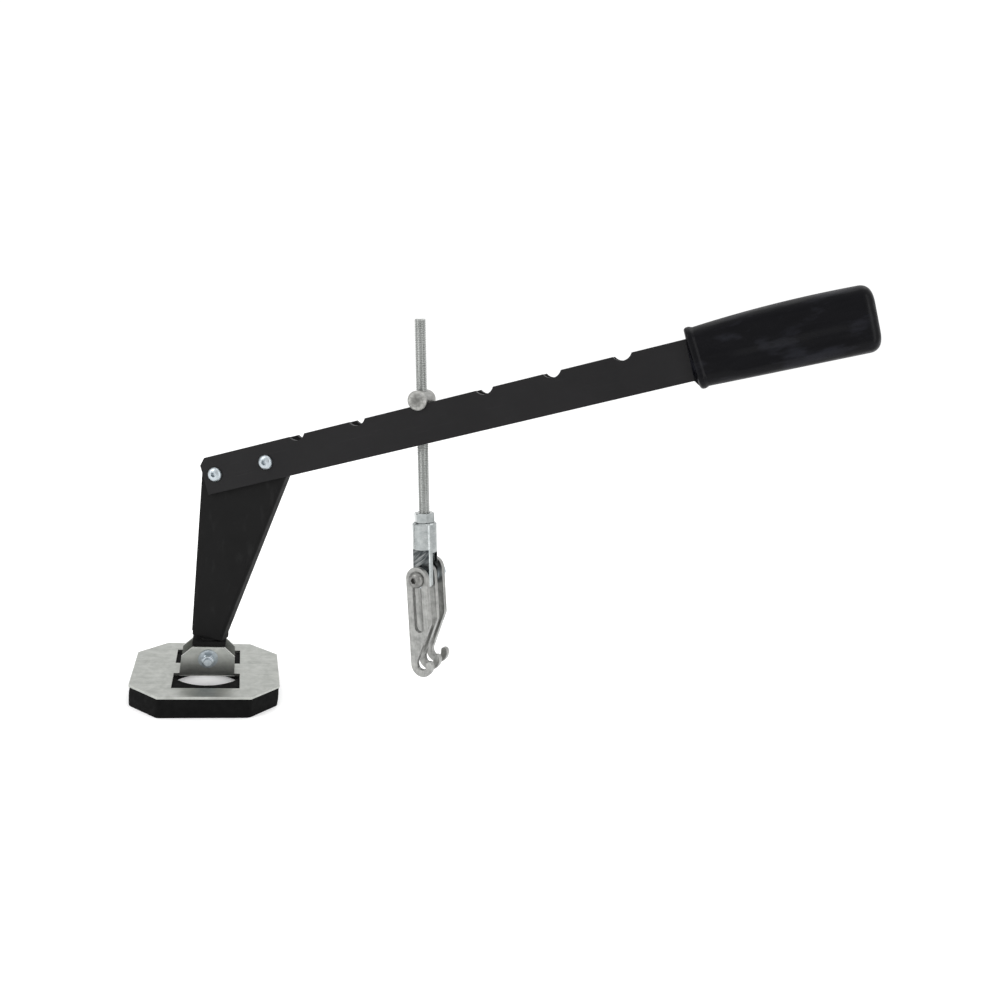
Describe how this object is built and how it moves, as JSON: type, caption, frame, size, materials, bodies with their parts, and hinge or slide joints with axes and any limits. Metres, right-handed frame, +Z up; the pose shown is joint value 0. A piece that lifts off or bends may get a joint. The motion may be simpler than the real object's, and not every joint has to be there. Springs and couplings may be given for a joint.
{
  "type": "coil spring compressor",
  "caption": "Lever tool for compressing coil springs: notched twin-bar lever on a leg with a tilting octagonal pad, and a screw rod with adjustable slotted hooks.",
  "frame": {"origin": "centre of the round hole, on the underside of the foot's rubber pad", "axes": "+Z up, square to the pad; +X runs under the lever towards its handle; +Y away from the side that shows the screw heads"},
  "size_m": [0.7323, 0.1792, 0.53],
  "materials": {
    "lever_paint": "satin black powder coat",
    "leg_paint": "matt black powder coat",
    "grip_vinyl": "soft glossy black vinyl",
    "foot_rubber": "matt black moulded rubber",
    "plate_zinc": "zinc-plated sheet, grey-green cast",
    "hook_zinc": "satin tumbled zinc plate",
    "pin_steel": "turned steel, dull ends",
    "rod_zinc": "bright zinc-plated thread",
    "clevis_zinc": "bright zinc plate",
    "fastener_zinc": "bright zinc plate",
    "bolt_steel": "dull dark steel",
    "plain_steel": "plain steel"
  },
  "bodies": {
    "lever": {"lever_bar_near": "lever_paint", "lever_bar_far": "lever_paint", "handle_spacer": "plain_steel", "handle_rivets": "plain_steel", "grip": "grip_vinyl", "leg": "leg_paint", "leg_end_plate": "leg_paint", "leg_spacers": "plain_steel", "lever_screws": "fastener_zinc", "lever_washers": "fastener_zinc", "lever_nuts": "fastener_zinc", "swivel_stud": "plain_steel"},
    "swivel": {"swivel_block": "leg_paint", "swivel_grub_screw": "plain_steel", "thrust_washer": "leg_paint"},
    "foot": {"foot_plate": "plate_zinc", "rubber_pad": "foot_rubber", "foot_bolt": "fastener_zinc", "foot_nut": "fastener_zinc", "foot_washers": "fastener_zinc"},
    "pin": {"trunnion_pin": "pin_steel"},
    "rod": {"threaded_rod": "rod_zinc", "lock_nut": "clevis_zinc"},
    "clevis": {"clevis_fork": "clevis_zinc", "hook_bolt": "bolt_steel", "hook_nut": "fastener_zinc", "hook_nut_washer": "fastener_zinc"},
    "washer_near": {"hook_washer_near": "fastener_zinc"},
    "washer_middle": {"hook_washer_middle": "fastener_zinc"},
    "washer_far": {"hook_washer_far": "fastener_zinc"},
    "hook_near": {"hook_near": "hook_zinc"},
    "hook_middle": {"hook_middle": "hook_zinc"},
    "hook_far": {"hook_far": "hook_zinc"}
  },
  "joints": [
    {"name": "foot_swivel", "type": "hinge", "parent": "lever", "child": "swivel", "pos_m": [0, 0, 0.065], "axis": [0, 0, 1], "continuous": true},
    {"name": "foot_tilt", "type": "hinge", "parent": "swivel", "child": "foot", "pos_m": [0, 0, 0.044], "axis": [-0.4772, 0.8788, 0], "range_deg": [-20, 20]},
    {"name": "rod_swing", "type": "hinge", "parent": "lever", "child": "pin", "pos_m": [0.21755, 0, 0.36539], "axis": [0, 1, 0], "range_deg": [-50, 25]},
    {"name": "rod_feed", "type": "slide", "parent": "pin", "child": "rod", "axis": [-0.1392, 0, 0.9903], "range_m": [-0.0245, 0.0245]},
    {"name": "clevis_turn", "type": "hinge", "parent": "rod", "child": "clevis", "pos_m": [0.24333, 0, 0.18199], "axis": [-0.1392, 0, 0.9903], "range_deg": [-5041, 5041]},
    {"name": "hook_near_swing", "type": "hinge", "parent": "clevis", "child": "washer_near", "pos_m": [0.23952, -0.01543, 0.18146], "axis": [0.2396, 0.9703, 0.0337], "range_deg": [-60, 60]},
    {"name": "hook_near_slide", "type": "slide", "parent": "washer_near", "child": "hook_near", "axis": [-0.1793, 0.0101, 0.9837], "range_m": [0, 0.0515]},
    {"name": "hook_middle_swing", "type": "hinge", "parent": "clevis", "child": "washer_middle", "pos_m": [0.24333, 0, 0.18199], "axis": [0.2396, 0.9703, 0.0337], "range_deg": [-60, 60]},
    {"name": "hook_middle_slide", "type": "slide", "parent": "washer_middle", "child": "hook_middle", "axis": [-0.1793, 0.0101, 0.9837], "range_m": [-0.003, 0.01]},
    {"name": "hook_far_swing", "type": "hinge", "parent": "clevis", "child": "washer_far", "pos_m": [0.24714, 0.01543, 0.18252], "axis": [0.2396, 0.9703, 0.0337], "range_deg": [-60, 60]},
    {"name": "hook_far_slide", "type": "slide", "parent": "washer_far", "child": "hook_far", "axis": [-0.1793, 0.0101, 0.9837], "range_m": [-0.006, 0.0455]}
  ],
  "couplings": [
    {"joint": "clevis_turn", "follows": "rod_feed", "rad_per_m": 3590.4}
  ]
}
